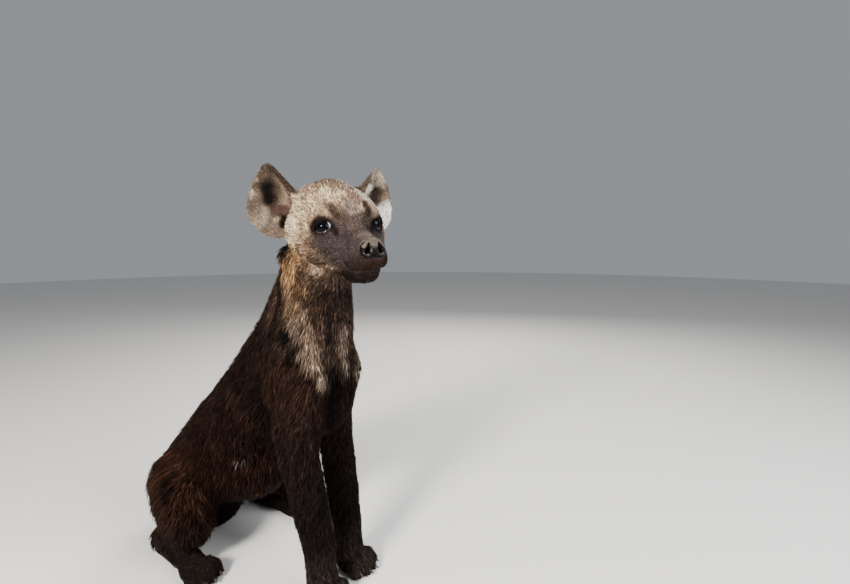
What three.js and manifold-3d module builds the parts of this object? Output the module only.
// A spotted hyena cub of about ten weeks, sitting upright with its head turned to its right.
// Life size, in millimetres. +Z is up, the chest faces -Y, and the cub's own left is +X.
// The body is a field of rounded limbs and eggs that flow into each other. Each sub-part is
// meshed from that field at its own fineness and parted from its neighbours by thin plane cuts.

import * as THREE from "three";
import { mergeVertices } from "three/addons/utils/BufferGeometryUtils.js";
import Module from "manifold-3d";

const wasm = await Module();
wasm.setup();

// Driving dimensions

const GAP = 0.3; // between two touching sub-parts
const FLOOR = 0; // height of the flats that the cub rests on
const SIDES = { left: 1, right: -1 };

const head = {
  midEyes: [-39.6, -168, 463.5], // the point between the two pupils
  yaw: -32, // degrees, towards the cub's right
  pitch: 3, // degrees, nose a little lowered
  roll: -4, // degrees, left eye a little higher
};
const eye = { radius: 11.5, pupil: [34.5, -5.6, 0], outward: 35, upward: 4, width: 22, height: 15 };
const ear = {
  thickRoot: 7,
  thickRim: 2,
  cup: 20, // depth of the dish
  // root, then degrees about its own length, backwards and towards the middle
  left: { base: [36, 54.5, 17.5], turn: -6, lean: 10.5, tilt: -9 },
  right: { base: [-55, 46, 13], turn: 0, lean: 0, tilt: 0 },
};
const lips = { side: -47, front: -46, sag: 1.2, deep: 2.4 }; // heights of the mouth's line, and its depth
const TOES = [-1.5, -0.5, 0.5, 1.5]; // across a foot, in steps from its middle
const forelegShift = { left: 6, right: -4 }; // along Y, for the left one stands further back

// Fields: each is a function of a place that is negative inside the form, near to millimetres

const long = (x, y, z) => Math.sqrt(x * x + y * y + z * z);

const smoothMin = (a, b, k) => {
  const h = Math.max(k - Math.abs(a - b), 0) / k;
  return Math.min(a, b) - (h * h * k) / 4;
};

// Joins fields into one form with fillets of about k.
const blend = (k, ...fields) => (x, y, z) => {
  let d = fields[0](x, y, z);
  for (let i = 1; i < fields.length; i++) d = smoothMin(d, fields[i](x, y, z), k);
  return d;
};

// Takes the second form out of the first, with a softened edge.
const hollow = (k, form, out) => (x, y, z) => -smoothMin(-form(x, y, z), out(x, y, z), k);

// A chain of cones with round joints. Each point is x, y, z and a radius, and wide stretches X.
const limb = (points, wide = 1) => {
  const cones = points.slice(1).map(([x, y, z, r], i) => {
    const [ax, ay, az, ar] = points[i];
    const u = { x: x - ax, y: y - ay, z: z - az };
    return { ax, ay, az, ar, u, dr: r - ar, square: u.x ** 2 + u.y ** 2 + u.z ** 2 };
  });
  return (x, y, z) => {
    let best = 1e6;
    for (const { ax, ay, az, ar, u, dr, square } of cones) {
      const px = (x - ax) / wide;
      const py = y - ay;
      const pz = z - az;
      const t = Math.min(1, Math.max(0, (px * u.x + py * u.y + pz * u.z) / square));
      best = smoothMin(best, long(px - t * u.x, py - t * u.y, pz - t * u.z) - ar - t * dr, 2);
    }
    return best;
  };
};

// An egg with three radii, turned by degrees about X, Y and Z.
const egg = (centre, radii, turn = [0, 0, 0]) => {
  const euler = new THREE.Euler(...turn.map(THREE.MathUtils.degToRad));
  const m = new THREE.Matrix4().makeRotationFromEuler(euler).elements;
  const [cx, cy, cz] = centre;
  const [rx, ry, rz] = radii;
  return (x, y, z) => {
    const dx = x - cx;
    const dy = y - cy;
    const dz = z - cz;
    const u = (dx * m[0] + dy * m[1] + dz * m[2]) / rx;
    const v = (dx * m[4] + dy * m[5] + dz * m[6]) / ry;
    const w = (dx * m[8] + dy * m[9] + dz * m[10]) / rz;
    const near = long(u, v, w);
    const slope = long(u / rx, v / ry, w / rz);
    return slope < 1e-9 ? -Math.min(rx, ry, rz) : (near * (near - 1)) / slope;
  };
};

// The same form on the other side of the middle plane.
const mirrored = (field) => (x, y, z) => field(-x, y, z);
const both = (k, field) => blend(k, field, mirrored(field));

// The same form, but told only roughly from far outside a ball that holds it.
const near = ([cx, cy, cz], radius, field) => (x, y, z) => {
  const away = long(x - cx, y - cy, z - cz) - radius;
  return away > 45 ? away : field(x, y, z);
};

// Moves a form by a matrix that keeps lengths.
const placed = (field, matrix) => {
  const m = matrix.clone().invert().elements;
  return (x, y, z) =>
    field(
      m[0] * x + m[4] * y + m[8] * z + m[12],
      m[1] * x + m[5] * y + m[9] * z + m[13],
      m[2] * x + m[6] * y + m[10] * z + m[14],
    );
};

// Meshing of a field

// Even orders of a tetrahedron's corners, and the six tetrahedra of a grid cell
const EVEN = [
  [0, 1, 2, 3], [1, 0, 3, 2], [2, 3, 0, 1], [3, 2, 1, 0],
  [0, 2, 3, 1], [0, 3, 1, 2], [1, 2, 0, 3], [1, 3, 2, 0],
];
const TETRAHEDRA = [[0, 1, 3, 7], [0, 3, 2, 7], [0, 2, 6, 7], [0, 6, 4, 7], [0, 4, 5, 7], [0, 5, 1, 7]];

// A closed net of triangles on the field's zero surface inside a box, by marching tetrahedra.
// The box's own walls close the form.
function netOf(field, low, high, cell) {
  const [nx, ny, nz] = low.map((v, i) => Math.ceil((high[i] - v) / cell) + 1);
  const value = new Float64Array(nx * ny * nz);
  const at = (i, j, k) => (k * ny + j) * nx + i;
  const placeOf = (g) =>
    [g % nx, Math.floor(g / nx) % ny, Math.floor(g / nx / ny)].map((v, n) => low[n] + v * cell);
  const block = 4;
  for (let k = 0; k < nz; k += block)
    for (let j = 0; j < ny; j += block)
      for (let i = 0; i < nx; i += block) {
        const [x, y, z] = [i, j, k].map((v, n) => low[n] + (v + block / 2) * cell);
        const rough = field(x, y, z);
        const far = Math.abs(rough) > 1.8 * block * cell;
        for (let c = k; c < Math.min(nz, k + block); c++)
          for (let b = j; b < Math.min(ny, j + block); b++)
            for (let a = i; a < Math.min(nx, i + block); a++) {
              const onWall = !a || !b || !c || a === nx - 1 || b === ny - 1 || c === nz - 1;
              const d = far ? rough : field(low[0] + a * cell, low[1] + b * cell, low[2] + c * cell);
              value[at(a, b, c)] = onWall ? Math.max(d, cell / 4) : d || 1e-6;
            }
      }
  const points = [];
  const pointOn = new Map();
  const crossing = (a, b) => {
    const key = Math.min(a, b) * value.length + Math.max(a, b);
    if (!pointOn.has(key)) {
      const t = THREE.MathUtils.clamp(value[a] / (value[a] - value[b]), 0.03, 0.97);
      const q = placeOf(b);
      pointOn.set(key, points.length);
      points.push(placeOf(a).map((v, n) => v + t * (q[n] - v)));
    }
    return pointOn.get(key);
  };
  const faces = [];
  const steps = [0, 1, 2, 3, 4, 5, 6, 7].map((c) => at(c & 1, (c >> 1) & 1, c >> 2));
  for (let k = 0; k + 1 < nz; k++)
    for (let j = 0; j + 1 < ny; j++)
      for (let i = 0; i + 1 < nx; i++) {
        const here = at(i, j, k);
        const within = steps.filter((s) => value[here + s] < 0).length;
        if (within === 0 || within === 8) continue;
        for (const shape of TETRAHEDRA) {
          const corners = shape.map((c) => here + steps[c]);
          const inside = corners.filter((c) => value[c] < 0).length;
          if (inside === 0 || inside === 4) continue;
          const alone = (c) => value[c] < 0 !== (inside === 3);
          const order = EVEN.find((o) => alone(corners[o[0]]) && (inside !== 2 || alone(corners[o[1]])));
          const [a, b, c, d] = order.map((o) => corners[o]);
          if (inside === 1) faces.push([crossing(a, b), crossing(a, c), crossing(a, d)]);
          else if (inside === 3) faces.push([crossing(a, b), crossing(a, d), crossing(a, c)]);
          else {
            const quad = [crossing(a, c), crossing(a, d), crossing(b, d), crossing(b, c)];
            faces.push([quad[0], quad[1], quad[2]], [quad[0], quad[2], quad[3]]);
          }
        }
      }
  const clear = (p) => p.every((v, n) => v > low[n] + 2 * cell && v < high[n] - 2 * cell);
  for (const p of points) if (clear(p)) settle(field, p, cell);
  return { points, faces };
}

const distance = (p, q) => long(p[0] - q[0], p[1] - q[1], p[2] - q[2]);

// Moves a point onto the field's zero surface, by at most half a cell.
function settle(field, p, cell) {
  const step = 0.2;
  const start = [...p];
  for (let turn = 0; turn < 2; turn++) {
    const d = field(...p);
    const slope = [0, 1, 2].map((n) => {
      const q = [...p];
      q[n] += step;
      return (field(...q) - d) / step;
    });
    const steep = slope[0] ** 2 + slope[1] ** 2 + slope[2] ** 2;
    if (steep < 0.05) break;
    for (let n = 0; n < 3; n++) p[n] -= (d * slope[n]) / steep;
  }
  const moved = distance(p, start);
  const share = cell / 2 / moved;
  if (share < 1) for (let n = 0; n < 3; n++) p[n] = start[n] + (p[n] - start[n]) * share;
}

// Fewer triangles with the least change of form: the edge whose end costs least is closed again
// and again, where the cost is the squared distance to the planes of the faces that met there.
function thinned({ points, faces }, target) {
  const place = points.map((p) => [...p]);
  const live = faces.map((f) => [...f]);
  const facesAt = points.map(() => []);
  const quadrics = points.map(() => new Float64Array(10));
  const stamp = new Uint32Array(points.length);
  const normal = ([ax, ay, az], [bx, by, bz], [cx, cy, cz]) => [
    (by - ay) * (cz - az) - (bz - az) * (cy - ay),
    (bz - az) * (cx - ax) - (bx - ax) * (cz - az),
    (bx - ax) * (cy - ay) - (by - ay) * (cx - ax),
  ];
  live.forEach((f, i) => {
    const [x, y, z] = normal(place[f[0]], place[f[1]], place[f[2]]);
    const size = long(x, y, z) || 1e-12;
    const [a, b, c] = [x / size, y / size, z / size];
    const d = -(a * place[f[0]][0] + b * place[f[0]][1] + c * place[f[0]][2]);
    const terms = [a * a, a * b, a * c, a * d, b * b, b * c, b * d, c * c, c * d, d * d];
    for (const v of f) {
      facesAt[v].push(i);
      for (let n = 0; n < 10; n++) quadrics[v][n] += terms[n] * size;
    }
  });
  const q = new Float64Array(10);
  const cost = (x, y, z) =>
    q[0] * x * x + 2 * q[1] * x * y + 2 * q[2] * x * z + 2 * q[3] * x + q[4] * y * y +
    2 * q[5] * y * z + 2 * q[6] * y + q[7] * z * z + 2 * q[8] * z + q[9];
  const best = (a, b) => {
    for (let n = 0; n < 10; n++) q[n] = quadrics[a][n] + quadrics[b][n];
    const [ax, ay, az] = place[a];
    const [bx, by, bz] = place[b];
    const length = long(ax - bx, ay - by, az - bz);
    let p = [(ax + bx) / 2, (ay + by) / 2, (az + bz) / 2];
    let least = cost(...p);
    const xx = q[4] * q[7] - q[5] * q[5];
    const xy = q[2] * q[5] - q[1] * q[7];
    const xz = q[1] * q[5] - q[2] * q[4];
    const det = q[0] * xx + q[1] * xy + q[2] * xz;
    if (Math.abs(det) > 1e-5 * (q[0] + q[4] + q[7]) ** 3) {
      const yy = q[0] * q[7] - q[2] * q[2];
      const yz = q[1] * q[2] - q[0] * q[5];
      const zz = q[0] * q[4] - q[1] * q[1];
      const s = [
        -(xx * q[3] + xy * q[6] + xz * q[8]) / det,
        -(xy * q[3] + yy * q[6] + yz * q[8]) / det,
        -(xz * q[3] + yz * q[6] + zz * q[8]) / det,
      ];
      if (distance(s, p) < 2 * length) {
        least = cost(...s);
        p = s;
      }
    }
    return { p, cost: least + 2e-4 * length ** 4 };
  };
  const heap = [];
  const push = (item) => {
    let i = heap.push(item) - 1;
    for (; i > 0 && heap[(i - 1) >> 1].cost > item.cost; i = (i - 1) >> 1) heap[i] = heap[(i - 1) >> 1];
    heap[i] = item;
  };
  const pop = () => {
    const top = heap[0];
    const last = heap.pop();
    if (!heap.length) return top;
    let i = 0;
    for (;;) {
      let child = 2 * i + 1;
      if (child >= heap.length) break;
      if (child + 1 < heap.length && heap[child + 1].cost < heap[child].cost) child++;
      if (heap[child].cost >= last.cost) break;
      heap[i] = heap[child];
      i = child;
    }
    heap[i] = last;
    return top;
  };
  const offer = (a, b) => {
    const { p, cost: price } = best(a, b);
    push({ cost: price, p, a, b, stamps: stamp[a] + stamp[b] });
  };
  const ringOf = (v) => {
    const ring = [];
    for (const f of facesAt[v]) for (const w of live[f]) if (w !== v && !ring.includes(w)) ring.push(w);
    return ring;
  };
  const folds = (v, p, gone) =>
    facesAt[v].some((f) => {
      if (gone.includes(f)) return false;
      const [a, b, c] = live[f].map((w) => place[w]);
      const [x, y, z] = normal(a, b, c);
      const [d, e, g] = live[f].map((w) => (w === v ? p : place[w]));
      const [u, w, t] = normal(d, e, g);
      return x * u + y * w + z * t < 0.3 * long(x, y, z) * long(u, w, t);
    });
  for (const [a, b, c] of live) {
    if (a < b) offer(a, b);
    if (b < c) offer(b, c);
    if (c < a) offer(c, a);
  }
  let left = live.length;
  while (left > target && heap.length) {
    const { a, b, p, stamps } = pop();
    if (stamp[a] + stamp[b] !== stamps || !facesAt[a].length || !facesAt[b].length) continue;
    const ringB = ringOf(b);
    const shared = ringOf(a).filter((v) => ringB.includes(v));
    const gone = facesAt[b].filter((f) => live[f].includes(a));
    if (shared.length !== 2 || gone.length !== 2 || folds(a, p, gone) || folds(b, p, gone)) continue;
    for (const f of gone)
      for (const v of live[f]) facesAt[v] = facesAt[v].filter((g) => g !== f);
    for (const f of gone) live[f] = null;
    left -= 2;
    for (const f of facesAt[b]) live[f][live[f].indexOf(b)] = a;
    facesAt[a].push(...facesAt[b]);
    facesAt[b] = [];
    place[a] = p;
    for (let n = 0; n < 10; n++) quadrics[a][n] += quadrics[b][n];
    stamp[a]++;
    for (const v of ringOf(a)) offer(a, v);
  }
  return { points: place, faces: live.filter(Boolean) };
}

// Solids

function solidOfNet({ points, faces }) {
  const used = new Map();
  const kept = [];
  const triVerts = new Uint32Array(faces.flat().map((v) => {
    if (!used.has(v)) {
      used.set(v, kept.length);
      kept.push(points[v]);
    }
    return used.get(v);
  }));
  const vertProperties = new Float32Array(kept.flat());
  return new wasm.Manifold(new wasm.Mesh({ numProp: 3, vertProperties, triVerts }));
}

function solidOfGeometry(geometry, matrix) {
  const bare = geometry.clone().applyMatrix4(matrix);
  for (const name of Object.keys(bare.attributes)) if (name !== "position") bare.deleteAttribute(name);
  const merged = mergeVertices(bare, 1e-4);
  return new wasm.Manifold(
    new wasm.Mesh({
      numProp: 3,
      vertProperties: merged.attributes.position.array,
      triVerts: new Uint32Array(merged.index.array),
    }),
  );
}

// Rings of points, each of one count, skinned into a closed form with its two ends fanned.
function solidOfRings(rings) {
  const sides = rings[0].length;
  const points = rings.flat();
  const faces = [];
  for (let r = 0; r + 1 < rings.length; r++)
    for (let s = 0; s < sides; s++) {
      const a = r * sides + s;
      const b = r * sides + ((s + 1) % sides);
      faces.push([a, b, b + sides], [a, b + sides, a + sides]);
    }
  for (const [ring, first] of [[rings[0], true], [rings.at(-1), false]]) {
    const centre = [0, 1, 2].map((n) => ring.reduce((sum, p) => sum + p[n], 0) / sides);
    const start = first ? 0 : (rings.length - 1) * sides;
    for (let s = 0; s < sides; s++) {
      const a = start + s;
      const b = start + ((s + 1) % sides);
      faces.push(first ? [b, a, points.length] : [a, b, points.length]);
    }
    points.push(centre);
  }
  const solid = solidOfNet({ points, faces });
  return solid.volume() > 0 ? solid : solidOfNet({ points, faces: faces.map(([a, b, c]) => [a, c, b]) });
}

// The largest closed body of a solid, which drops scraps that a cut leaves.
function largest(solid) {
  return solid.decompose().sort((a, b) => b.volume() - a.volume())[0];
}

const REACH = 900; // of a cutting block

// Everything behind a plane, which is given by a point and the normal that points away from it.
function behind([px, py, pz], normal, grow = 0) {
  const n = new THREE.Vector3(...normal).normalize();
  const turn = new THREE.Quaternion().setFromUnitVectors(new THREE.Vector3(0, 0, 1), n);
  const centre = new THREE.Vector3(px, py, pz).addScaledVector(n, grow - REACH / 2);
  const matrix = new THREE.Matrix4().compose(centre, turn, new THREE.Vector3(1, 1, 1));
  return solidOfGeometry(new THREE.BoxGeometry(REACH, REACH, REACH), matrix);
}

// The space behind all the planes of a region. grow moves the planes outwards.
const regionOf = (planes, grow = 0) =>
  planes.map(([point, normal]) => behind(point, normal, grow)).reduce((a, b) => a.intersect(b));

// The head, in its own frame: origin between the pupils, nose towards -Y

const headMatrix = new THREE.Matrix4()
  .makeRotationFromEuler(
    new THREE.Euler(
      THREE.MathUtils.degToRad(head.pitch),
      THREE.MathUtils.degToRad(head.roll),
      THREE.MathUtils.degToRad(head.yaw),
      "ZXY",
    ),
  )
  .setPosition(...head.midEyes);

const eyeDirection = new THREE.Vector3(0, -1, 0)
  .applyAxisAngle(new THREE.Vector3(1, 0, 0), -THREE.MathUtils.degToRad(eye.upward))
  .applyAxisAngle(new THREE.Vector3(0, 0, 1), THREE.MathUtils.degToRad(eye.outward));
const eyeCentre = new THREE.Vector3(...eye.pupil).addScaledVector(eyeDirection, -eye.radius);

const eyeAhead = (far) => new THREE.Vector3(...eyeCentre).addScaledVector(eyeDirection, far).toArray();
const cranium = blend(
  16,
  egg([0, 46, 9], [44, 50, 41]),
  egg([-12, 42, 28], [24, 38, 28.5]), // the crown, bunched on the side that the head turns to
  egg([0, 8, 14], [33, 24, 28]),
  both(12, egg([23, -1, 11], [13, 10, 8], [0, 20, 0])),
  both(12, egg([30, 28, -18], [22, 31, 30])),
  egg([-44, 50, -6], [21, 21, 30]), // the ruff of the cheek, bunched on the side that the head turns to
  egg([42, 52, -8], [18, 19, 28]),
);
const scalpFold = egg([-34, 54, 32], [18, 17, 17], [0, -30, 0]); // drawn up by the raised right ear
const orbits = both(1, egg(eyeAhead(18), [15, 9, 10], [0, 0, eye.outward]));
const muzzle = blend(
  9,
  limb([[0, 4, -4, 16.5], [0, -40, -16, 12], [0, -62, -20, 11]], 1.1),
  limb([[0, 0, -27, 26], [0, -48, -33, 19]], 1.06),
  both(10, egg([21, -8, -27], [16, 28, 18])),
  both(8, egg([10, -53, -36], [13, 20, 12])),
);
const lowerJaw = limb([[0, 26, -44, 19], [0, -22, -50, 13.5], [0, -52, -48, 11]], 1.35);
const lids = both(3, egg(eyeCentre.toArray(), [14, 14, 13.6]));
const headLocal = blend(
  4,
  hollow(9, blend(5, blend(14, cranium, muzzle, scalpFold), lowerJaw), orbits),
  lids,
);

const noseShift = new THREE.Matrix4().makeTranslation(1.6, 0, 0); // the nose points a little to the left
const nosePad = placed(
  blend(5, egg([0, -67, -21.5], [12.5, 11, 10.5]), both(2, egg([7, -69, -25.5], [6.8, 9, 8.2]))),
  noseShift,
);
const nostrils = placed(
  both(
    0.5,
    blend(
      1.5,
      limb([[6.2, -80, -23, 2.8], [7.4, -70, -24, 2.6]]),
      limb([[7, -79.5, -26.5, 1.6], [12.5, -74, -24, 1.2]]),
    ),
  ),
  noseShift,
);
const philtrum = placed(limb([[0, -84, -26, 1.4], [0, -80, -36, 1.6]]), noseShift);

const headField = near(head.midEyes, 110, placed(headLocal, headMatrix));

// The trunk, neck and legs, in the part's frame

const trunk = limb([[0, -70, 246, 60], [0, 5, 230, 66], [0, 79, 164, 71], [0, 152, 86, 74]], 0.9);
const rump = egg([0, 165, 62], [70, 66, 72]);
const belly = egg([0, 60, 128], [62, 70, 62]);
const neck = limb([[0, -56, 300, 66], [0, -70, 340, 58], [-4, -82, 390, 48], [-12, -94, 432, 44]], 0.88);
const ruffTuft = placed(egg([-61, 80, -36], [10, 13, 15]), headMatrix); // stands out behind the right cheek
const mane = limb([[-4, -70, 420, 34], [0, -26, 345, 37], [0, 17, 285, 40], [0, 66, 222, 40]], 0.8);
const shoulders = both(8, egg([36, -84, 272], [24, 34, 46], [12, 0, 0]));

// How far a toe reaches ahead of the heel, and how far it lies to the side.
const toePlace = (across, length, width) => [(across * width) / 4.4, length - Math.abs(across) * 7];

const footMatrix = (x, y, heading) =>
  new THREE.Matrix4().makeRotationZ(THREE.MathUtils.degToRad(heading)).setPosition(x, y, 0);

// A foot with four toes. Its own frame has the heel at the origin and the toes towards -Y.
const foot = ({ x: footX, y: footY, heading, length, width }) => {
  const toes = TOES.map((across) => {
    const [x, reach] = toePlace(across, length, width);
    return limb([
      [x * 0.8, -length * 0.45, 13, 9],
      [x * 1.05, -reach + 14, 12, 8.2],
      [x * 1.1, -reach + 7, 6.8, 7.2],
    ]);
  });
  const sole = egg([0, -length * 0.4, 9], [width * 0.44, length * 0.46, 12]);
  return placed(blend(2.5, sole, ...toes), footMatrix(footX, footY, heading));
};

// Joints of the left legs: each is x, y, z and the radius of the limb with its coat
const foreleg = [
  [38, -98, 270, 24],
  [37, -88, 222, 24],
  [38, -80, 172, 25],
  [34, -98, 100, 22],
  [31, -108, 60, 20],
  [31, -112, 24, 19],
];
const forearmBack = [[42, -66, 214, 22], [40, -66, 172, 20]];
const forefoot = { x: 31, y: -98, heading: 4, length: 56, width: 47 };
const thigh = [[46, 142, 92, 52], [66, 110, 80, 43], [80, 76, 63, 30]];
const shank = [[80, 76, 62, 28], [79, 112, 44, 20], [78, 142, 28, 17]];
const metatarsus = [[78, 144, 20, 17], [82, 96, 17, 16], [84, 72, 14, 15]];
const hindfoot = { x: 84, y: 78, heading: 6, length: 62, width: 44 };

const forelegField = near([40, -100, 130], 180, blend(5, limb(foreleg), limb(forearmBack), foot(forefoot)));
const hindlegField = near(
  [70, 90, 70],
  150,
  blend(5, blend(9, limb(thigh), limb(shank)), limb(metatarsus), foot(hindfoot)),
);
const forelegOn = (name) => {
  const field = SIDES[name] > 0 ? forelegField : mirrored(forelegField);
  return (x, y, z) => field(x, y - forelegShift[name], z);
};

const trunkField = blend(6, blend(22, trunk, rump, belly, neck, mane, shoulders), ruffTuft);
const withForelegs = blend(13, trunkField, forelegOn("left"), forelegOn("right"));
const hindlegs = blend(6, hindlegField, mirrored(hindlegField));
const bodyField = blend(16, blend(10, withForelegs, hindlegs), headField);

// Cut planes: a point on each plane and the normal that points out of the region

const headPoint = (x, y, z) => new THREE.Vector3(x, y, z).applyMatrix4(headMatrix).toArray();
const headNormal = (x, y, z) => new THREE.Vector3(x, y, z).transformDirection(headMatrix).toArray();
const onSide = (planes, side) =>
  planes.map(([[px, py, pz], [nx, ny, nz]]) => [[px * side, py, pz], [nx * side, ny, nz]]);

const regions = {
  head: [
    [headPoint(0, 56, -45), headNormal(0, 0.9, -0.42)],
    [headPoint(0, 10, -68), headNormal(0, 0.25, -0.97)],
  ],
  aboveShoulders: [[[0, -60, 312], [0, -0.35, -0.94]]],
  foreleg: [
    [[8, -90, 176], [-0.93, 0, 0.366]],
    [[0.5, 0, 0], [-1, 0, 0]],
    [[0, -40, 180], [0, 0.98, 0.2]],
  ],
  hindleg: [
    [[36, 60, 70], [-0.97, 0, 0.25]],
    [[0, 50, 136], [0, 0.1, 0.995]],
    [[0, -20, 0], [0, -1, 0]],
    [[0, 204, 0], [0, 1, 0]],
  ],
};
const aboveFloor = behind([0, 0, FLOOR], [0, 0, -1]);

// Meshes the body's field inside a box, thins it and stands it on the floor.
function fleshIn(low, high, cell, triangles) {
  return solidOfNet(thinned(netOf(bodyField, low, high, cell), triangles)).intersect(aboveFloor);
}

// Ears

const earOutline = [
  [1, 70], [8, 69], [15, 64.5], [25, 58.5], [34, 51], [44, 41.5], [51, 30], [54, 19], [51.5, 8.5],
  [45, -3.5], [36, -12], [26, -17], [8, -18], [-14, -9], [-30, 14], [-17, 25], [-13.5, 33],
  [-10, 44], [-7, 54], [-4, 63.5],
];

// One ear as a dish with a thick root and a thin rim. grow makes it thicker all over.
function earSolid(name, grow = 0) {
  const side = SIDES[name];
  const { base, turn, lean, tilt } = ear[name];
  const along = new THREE.Vector3(0.348 * side, 0.181, 0.92).normalize();
  const outward = new THREE.Vector3(0.788 * side, 0.478, -0.392);
  outward.addScaledVector(along, -outward.dot(along)).normalize();
  const front = new THREE.Vector3().crossVectors(along, outward).multiplyScalar(-side).normalize();
  for (const axis of [outward, front]) axis.applyAxisAngle(along, THREE.MathUtils.degToRad(turn) * side);
  const sideways = new THREE.Vector3(-1, 0, 0);
  for (const axis of [along, outward, front]) axis.applyAxisAngle(sideways, THREE.MathUtils.degToRad(lean));
  for (const axis of [along, outward]) axis.applyAxisAngle(front, THREE.MathUtils.degToRad(tilt) * side);
  const outline = new THREE.CatmullRomCurve3(
    earOutline.map(([o, a]) => new THREE.Vector3(o, a, 0)),
    true,
    "centripetal",
  ).getPoints(26).slice(0, -1);
  const middle = new THREE.Vector2(8, 14);
  const steps = [0.22, 0.45, 0.66, 0.84, 0.95, 1];
  const at = (o, a, depth) =>
    new THREE.Vector3(...base)
      .addScaledVector(outward, o)
      .addScaledVector(along, a)
      .addScaledVector(front, depth)
      .applyMatrix4(headMatrix)
      .toArray();
  const layer = (share, face) =>
    outline.map(({ x, y }) => {
      const size = share + (share === 1 ? grow / 30 : 0);
      const o = middle.x + (x - middle.x) * size;
      const a = middle.y + (y - middle.y) * size;
      const root = THREE.MathUtils.clamp((12 - (o + a) * 0.7) / 40, 0, 1);
      const thick = THREE.MathUtils.lerp(ear.thickRim, ear.thickRoot, root) * (1 - 0.35 * share) + 2 * grow;
      const dish = -ear.cup * (1 - size ** 2.2) - 0.0035 * (o - 10) ** 2;
      return at(o, a, dish + (face * thick) / 2);
    });
  const rings = [...steps.map((s) => layer(s, 1)), ...steps.toReversed().map((s) => layer(s, -1))];
  return solidOfRings(rings);
}

// Eyes

const eyeballAt = (side, radius) => {
  const centre = new THREE.Vector3(eyeCentre.x * side, eyeCentre.y, eyeCentre.z).applyMatrix4(headMatrix);
  return solidOfGeometry(
    new THREE.SphereGeometry(radius, 20, 14),
    new THREE.Matrix4().makeTranslation(centre),
  );
};

// The almond space between the lids: two cylinders that cross in front of the eyeball.
function lidOpening(side) {
  const depth = 30;
  const half = { w: eye.width / 2, h: eye.height / 2 };
  const radius = (half.w ** 2 + half.h ** 2) / (2 * half.h);
  const forward = new THREE.Vector3(eyeDirection.x * side, eyeDirection.y, eyeDirection.z);
  const turn = new THREE.Quaternion().setFromUnitVectors(new THREE.Vector3(0, -1, 0), forward);
  const tilt = new THREE.Quaternion().setFromAxisAngle(
    new THREE.Vector3(0, 1, 0),
    THREE.MathUtils.degToRad(14 * side),
  );
  const cylinder = (lift) => {
    const centre = new THREE.Vector3(0, -depth / 2, lift).applyQuaternion(tilt).applyQuaternion(turn);
    centre.add(new THREE.Vector3(eyeCentre.x * side, eyeCentre.y, eyeCentre.z));
    const matrix = new THREE.Matrix4()
      .compose(centre, turn.clone().multiply(tilt), new THREE.Vector3(1, 1, 1))
      .premultiply(headMatrix);
    return solidOfGeometry(new THREE.CylinderGeometry(radius, radius, depth, 40), matrix);
  };
  return cylinder(radius - half.h).intersect(cylinder(half.h - radius));
}

// The line of the mouth: a groove that runs round the muzzle between the lips

function mouthGroove() {
  const steps = 30;
  const sweep = THREE.MathUtils.degToRad(100); // to each side of straight ahead
  const centreY = -40;
  const outside = 4;
  const rings = [];
  for (let i = 0; i <= steps; i++) {
    const swing = sweep * ((2 * i) / steps - 1);
    const share = (Math.cos(swing) - Math.cos(sweep)) / (1 - Math.cos(sweep)); // 0 at a corner, 1 in front
    const z = THREE.MathUtils.lerp(lips.side, lips.front, share) - lips.sag * Math.sin(Math.PI * share);
    const out = new THREE.Vector2(Math.sin(swing), -Math.cos(swing));
    const startY = centreY + 26 * (1 - share);
    let reach = 60;
    while (reach > 5 && headLocal(out.x * reach, startY + out.y * reach, z) > 0) reach -= 0.5;
    const place = (far, up) => headPoint(out.x * far, startY + out.y * far, z + up);
    const wide = 1 - 0.5 * Math.abs(i / steps - 0.5);
    const upperLip = place(reach + outside, 2.4 * wide);
    const lowerLip = place(reach + outside, -1.6 * wide);
    rings.push([upperLip, place(reach - lips.deep, 0), lowerLip]);
  }
  return solidOfRings(rings);
}

// The tail lies on the floor round the left haunch

const tailLine = new THREE.CatmullRomCurve3(
  [[4, 214, 44], [12, 236, 27], [36, 250, 16], [72, 247, 13], [104, 226, 11], [124, 196, 9]].map(
    (p) => new THREE.Vector3(...p),
  ),
);
// Bushiest past the middle, then drawn to a point
const tailRadius = (t) => {
  const bush = 2.5 * Math.sin(Math.PI * Math.min(1, t * 1.15));
  return 13 + bush - 24 * Math.max(0, t - 0.62) ** 1.1;
};

function tailSolid(grow = 0) {
  const steps = 16;
  const sides = 12;
  const rings = [];
  for (let i = 0; i <= steps; i++) {
    const t = i / steps;
    const centre = tailLine.getPoint(t);
    const ahead = tailLine.getTangent(t);
    const across = new THREE.Vector3().crossVectors(ahead, new THREE.Vector3(0, 0, 1)).normalize();
    const up = new THREE.Vector3().crossVectors(across, ahead);
    const radius = tailRadius(t) + grow;
    rings.push(
      Array.from({ length: sides }, (_, s) => {
        const turn = (2 * Math.PI * s) / sides;
        return centre
          .clone()
          .addScaledVector(across, radius * Math.cos(turn))
          .addScaledVector(up, radius * Math.sin(turn))
          .toArray();
      }),
    );
  }
  return solidOfRings(rings);
}

// Claws: short blunt cones, one on each toe

function clawSolids(side, { x: footX, y: footY, heading, length, width }) {
  const matrix = footMatrix(footX * side, footY, heading * side);
  return TOES.map((across) => {
    const [x, reach] = toePlace(across, length, width);
    const rings = [0, 0.55, 1].map((t) => {
      const radius = 2.9 - 1.8 * t;
      return [0, 1, 2, 3, 4, 5].map((s) => {
        const turn = (Math.PI * s) / 3;
        const p = new THREE.Vector3(x * 1.1 + radius * Math.cos(turn), 5 - reach - 9 * t, 8 - 4.5 * t * t);
        p.z += radius * Math.sin(turn) * 1.2;
        return p.applyMatrix4(matrix).toArray();
      });
    });
    return solidOfRings(rings);
  });
}

// Assembly of the sub-parts

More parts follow.
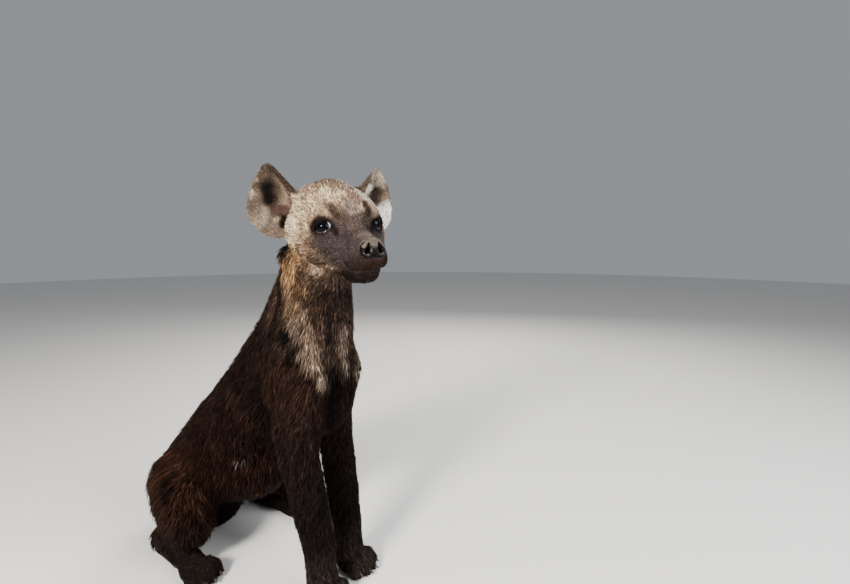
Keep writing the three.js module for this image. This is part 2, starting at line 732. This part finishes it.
const coat = { face: "#6f6358", body: "#2c2320", ear: "#6b5f54", bare: "#1c1a1a", eye: "#141820" };
const cub = new THREE.Group();

function addNode(name, solid, colour, roughness = 0.9) {
  const { vertProperties, triVerts } = largest(solid).getMesh();
  const geometry = new THREE.BufferGeometry();
  geometry.setAttribute("position", new THREE.BufferAttribute(new Float32Array(vertProperties), 3));
  geometry.setIndex(new THREE.BufferAttribute(new Uint32Array(triVerts), 1));
  geometry.computeVertexNormals();
  const material = new THREE.MeshStandardMaterial({ color: colour, roughness, metalness: 0 });
  const mesh = new THREE.Mesh(geometry, material);
  mesh.name = name;
  cub.add(mesh);
}

const inNoseBox = (field, triangles) =>
  solidOfNet(thinned(netOf(field, [-24, -90, -44], [24, -52, -4], 1.3), triangles)).transform(
    headMatrix.elements,
  );
const nose = inNoseBox(hollow(1, nosePad, blend(1, nostrils, philtrum)), 560);
const noseSocket = inNoseBox((x, y, z) => nosePad(x, y, z) - 2 * GAP, 300);

let headSolid = fleshIn([-150, -280, 360], [100, -30, 560], 2.8, 5400).intersect(regionOf(regions.head));
headSolid = headSolid.subtract(noseSocket).subtract(mouthGroove());
for (const [name, side] of Object.entries(SIDES)) {
  headSolid = headSolid.subtract(earSolid(name, GAP));
  headSolid = headSolid.subtract(eyeballAt(side, eye.radius + GAP)).subtract(lidOpening(side));
  addNode(`ear_${name}`, earSolid(name), coat.ear);
  addNode(`eye_${name}`, eyeballAt(side, eye.radius), coat.eye, 0.1);
}
addNode("head", headSolid, coat.face);
addNode("nose", nose, coat.bare, 0.35);

const neckSolid = fleshIn([-110, -180, 240], [90, 110, 530], 5, 1300)
  .intersect(regionOf(regions.aboveShoulders))
  .subtract(regionOf(regions.head, GAP));
addNode("neck", neckSolid, coat.body);

const below = regions.aboveShoulders.map(([point, normal]) => [point, normal.map((v) => -v)]);
let torso = fleshIn([-120, -180, -20], [120, 270, 345], 5.6, 2600).intersect(regionOf(below, -GAP));
const tailGrown = tailSolid(GAP);
torso = torso.subtract(tailGrown);
for (const [name, side] of Object.entries(SIDES)) {
  const fore = onSide(regions.foreleg, side);
  const hind = onSide(regions.hindleg, side);
  const [lowX, highX] = side > 0 ? [-8, 100] : [-100, 8];
  const [farX, nearX] = side > 0 ? [10, 140] : [-140, -10];
  let leg = fleshIn([lowX, -190, -14], [highX, -20, 330], 3.4, 1250).intersect(regionOf(fore));
  const standing = { ...forefoot, y: forefoot.y + forelegShift[name] };
  for (const claw of clawSolids(side, standing)) leg = leg.add(claw);
  addNode(`foreleg_${name}`, leg, coat.body);
  leg = fleshIn([farX, -36, -14], [nearX, 230, 170], 3.8, 1250).intersect(regionOf(hind));
  leg = leg.subtract(tailGrown);
  for (const claw of clawSolids(side, hindfoot)) leg = leg.add(claw);
  addNode(`hindleg_${name}`, leg, coat.body);
  torso = torso.subtract(regionOf(fore, GAP)).subtract(regionOf(hind, GAP));
}
addNode("torso", torso, coat.body);
addNode("tail", tailSolid().intersect(aboveFloor), coat.body);

// The origin is under the middle of the whole cub, on the floor.
const extent = new THREE.Box3().setFromObject(cub).getCenter(new THREE.Vector3());
cub.position.set(-extent.x, -extent.y, 0);

export default cub;
